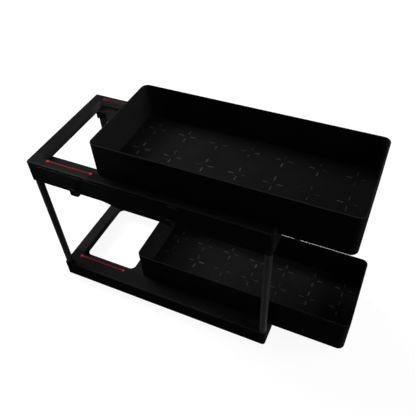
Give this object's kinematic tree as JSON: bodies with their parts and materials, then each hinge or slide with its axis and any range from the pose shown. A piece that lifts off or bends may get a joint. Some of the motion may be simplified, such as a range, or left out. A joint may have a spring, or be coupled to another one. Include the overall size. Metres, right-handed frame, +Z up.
{
  "type": "under sink organizer",
  "caption": "Black under sink organizer: an upper and a lower pull-out tray on open decks, with tube posts, sliding hooks and red marker strips.",
  "frame": {"origin": "centre of the front left pad's underside, on the standing surface", "axes": "+X along the slides towards the pull-out end, +Y towards the back, away from the hooks, +Z up"},
  "size_m": [0.5273, 0.215, 0.3412],
  "materials": {
    "black_plastic": "fine satin grain",
    "post_paint": "satin",
    "pad_rubber": "matte",
    "marker_red": "satin"
  },
  "bodies": {
    "rack": {"upper_deck": "black_plastic", "lower_deck": "black_plastic", "post_front_left": "post_paint", "post_front_right": "post_paint", "post_back_left": "post_paint", "post_back_right": "post_paint", "pad_front_left": "pad_rubber", "pad_front_right": "pad_rubber", "pad_back_left": "pad_rubber", "pad_back_right": "pad_rubber", "upper_front_marker": "marker_red", "upper_back_marker": "marker_red", "lower_front_marker": "marker_red", "lower_back_marker": "marker_red"},
    "upper_tray": {"upper_tray": "black_plastic"},
    "lower_tray": {"lower_tray": "black_plastic"},
    "hook_left": {"hook_left": "black_plastic"},
    "hook_right": {"hook_right": "black_plastic"}
  },
  "joints": [
    {"name": "upper_tray_slide", "type": "slide", "parent": "rack", "child": "upper_tray", "axis": [1, 0, 0], "range_m": [-0.0976, 0.0824]},
    {"name": "lower_tray_slide", "type": "slide", "parent": "rack", "child": "lower_tray", "axis": [1, 0, 0], "range_m": [-0.1287, 0.0513]},
    {"name": "hook_left_slide", "type": "slide", "parent": "rack", "child": "hook_left", "axis": [1, 0, 0], "range_m": [-0.066, 0.069]},
    {"name": "hook_right_slide", "type": "slide", "parent": "rack", "child": "hook_right", "axis": [1, 0, 0], "range_m": [-0.072, 0.123]}
  ]
}
